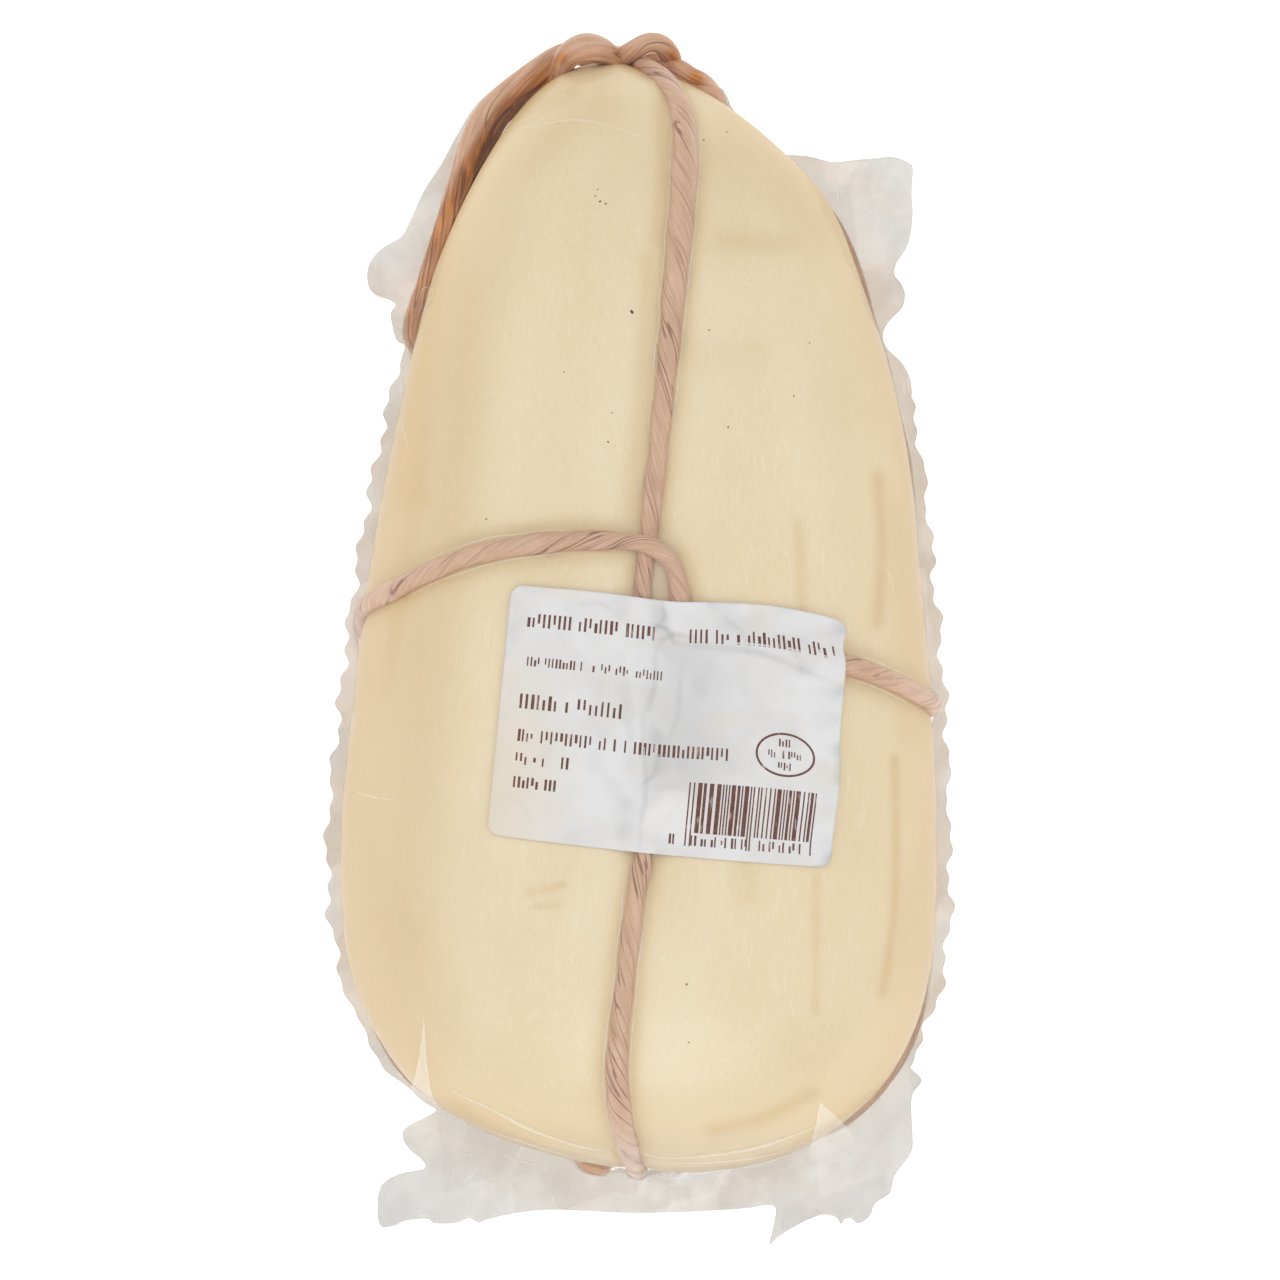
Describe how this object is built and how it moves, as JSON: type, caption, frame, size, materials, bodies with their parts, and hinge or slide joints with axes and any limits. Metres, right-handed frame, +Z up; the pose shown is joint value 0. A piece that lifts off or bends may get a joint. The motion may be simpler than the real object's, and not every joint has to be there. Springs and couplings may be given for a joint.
{
  "type": "vacuum-packed caciocavallo cheese",
  "caption": "Whole pear-shaped stretched-curd cheese tied with paper cord and sealed in a clear vacuum bag, with a paper label on the front.",
  "frame": {"origin": "on the table under the middle of the pack's outline", "axes": "+Z up, +Y along the cheese towards its neck, +X across it to the right as seen from above with the neck away from the viewer"},
  "size_m": [0.1325, 0.255, 0.0987],
  "materials": {
    "cheese": "smooth pale straw-yellow curd with an oily sheen",
    "cord_paper": "twisted crepe paper cord, pinkish tan, matt",
    "film": "clear glossy vacuum film, hazy where it is crumpled",
    "label_paper": "white semi-gloss self-adhesive paper",
    "label_print": "dark brown thermal print"
  },
  "bodies": {
    "root": {"vacuum_pack": "cheese", "label": "label_paper"}
  },
  "joints": []
}
